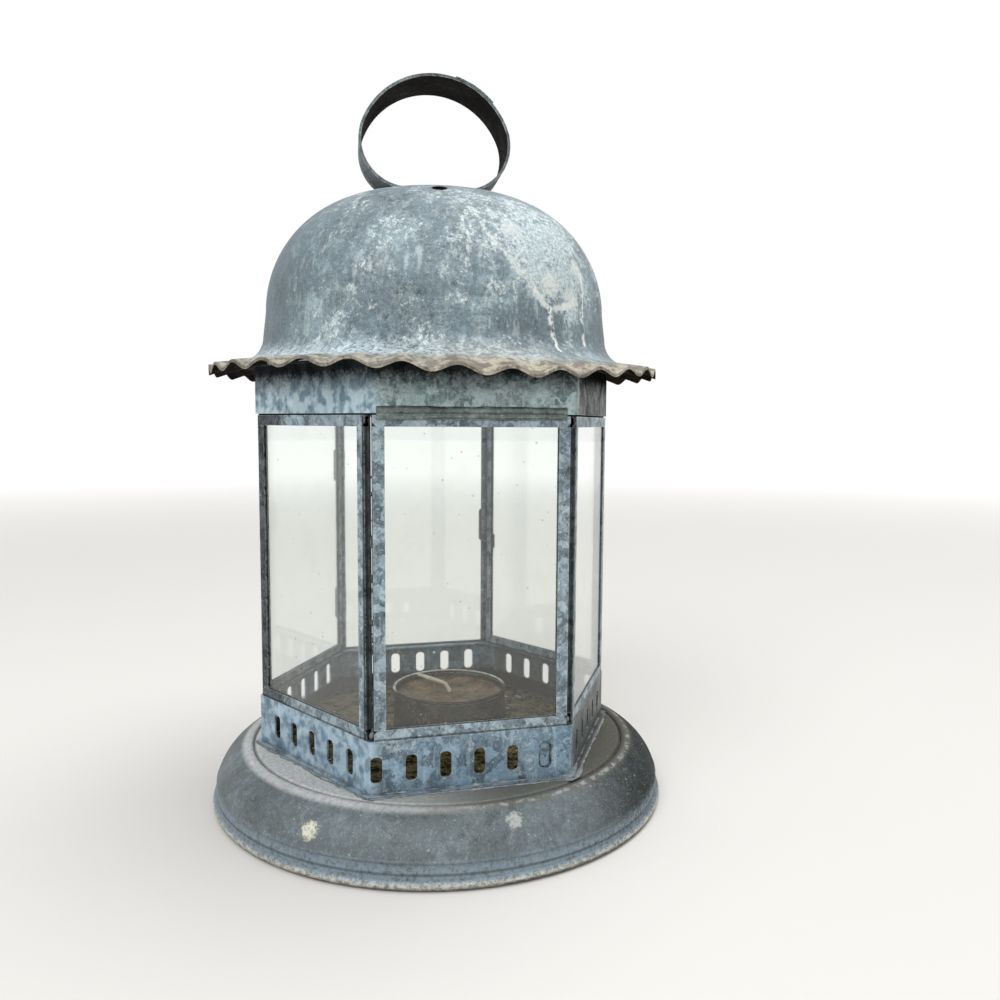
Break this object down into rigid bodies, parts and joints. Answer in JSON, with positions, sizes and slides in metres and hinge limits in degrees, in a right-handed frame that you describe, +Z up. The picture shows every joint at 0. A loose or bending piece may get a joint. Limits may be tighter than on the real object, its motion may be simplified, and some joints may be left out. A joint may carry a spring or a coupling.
{
  "type": "candle lantern",
  "caption": "Hexagonal glazed tin candle lantern on a round spun base, with a pierced gallery, domed roof with a fluted skirt, ring handle and hinged rear door.",
  "frame": {"origin": "centre of the base circle on the surface that the lantern stands on", "axes": "+Z up through the candle, the dome and the ring; -Y towards the front panel, +Y towards the door"},
  "size_m": [0.1612, 0.1612, 0.25],
  "materials": {
    "base_zinc": "dark weathered zinc coat on spun sheet, dull, with white lime spots",
    "hem_wire": "worn grey wire",
    "band_zinc": "weathered galvanised sheet, blue grey with pale spangle",
    "collar_zinc": "weathered galvanised sheet with large dull spangle",
    "frame_zinc": "folded galvanised channel, blue grey, worn pale at its edges",
    "solder": "dull grey solder, uneven",
    "roof_zinc": "weathered zinc with white bloom and runs, bare beige at the rim",
    "handle_zinc": "dark weathered strip, bright thin edges",
    "hinge_tin": "dull grey tinned strip and wire",
    "latch_tin": "dull grey, rubbed brighter where it turns",
    "cup_tin": "tarnished tin, bright thin rim",
    "old_wax": "dusty brown wax, matt",
    "wick_cord": "waxed cord, pale",
    "old_glass": "clear old sheet glass with dust and faint smears"
  },
  "bodies": {
    "lantern_body": {"base_pan": "base_zinc", "base_edge_wire": "hem_wire", "gallery_band": "band_zinc", "collar_band": "collar_zinc", "front_pane": "old_glass", "front_left_stile": "frame_zinc", "front_right_stile": "frame_zinc", "front_top_rail": "frame_zinc", "front_bottom_rail": "frame_zinc", "front_right_pane": "old_glass", "front_right_left_stile": "frame_zinc", "front_right_right_stile": "frame_zinc", "front_right_top_rail": "frame_zinc", "front_right_bottom_rail": "frame_zinc", "rear_right_pane": "old_glass", "rear_right_left_stile": "frame_zinc", "rear_right_right_stile": "frame_zinc", "rear_right_top_rail": "frame_zinc", "rear_right_bottom_rail": "frame_zinc", "rear_left_pane": "old_glass", "rear_left_left_stile": "frame_zinc", "rear_left_right_stile": "frame_zinc", "rear_left_top_rail": "frame_zinc", "rear_left_bottom_rail": "frame_zinc", "front_left_pane": "old_glass", "front_left_left_stile": "frame_zinc", "front_left_right_stile": "frame_zinc", "front_left_top_rail": "frame_zinc", "front_left_bottom_rail": "frame_zinc", "corner_solder": "solder", "foot_solder": "solder", "front_seam_solder": "solder", "roof_seat": "roof_zinc", "dome_roof": "roof_zinc", "ring_handle": "handle_zinc", "handle_rivet": "handle_zinc", "candle_cup": "cup_tin", "candle_stub": "old_wax", "candle_wick": "wick_cord", "hinge_body_leaves": "hinge_tin", "hinge_pins": "hinge_tin", "latch_keeper": "latch_tin"},
    "door": {"door_pane": "old_glass", "door_hinge_stile": "frame_zinc", "door_latch_stile": "frame_zinc", "door_top_rail": "frame_zinc", "door_bottom_rail": "frame_zinc", "hinge_door_leaves": "hinge_tin", "latch_stud": "latch_tin"},
    "latch_bar": {"latch_bar": "latch_tin"}
  },
  "joints": [
    {"name": "door_hinge", "type": "hinge", "parent": "lantern_body", "child": "door", "pos_m": [-0.03278, 0.05708, 0.085], "axis": [0, 0, 1], "range_deg": [0, 120]},
    {"name": "latch_turn", "type": "hinge", "parent": "door", "child": "latch_bar", "pos_m": [0.0296, 0.059, 0.086], "axis": [0, 1, 0], "range_deg": [0, 90]}
  ]
}
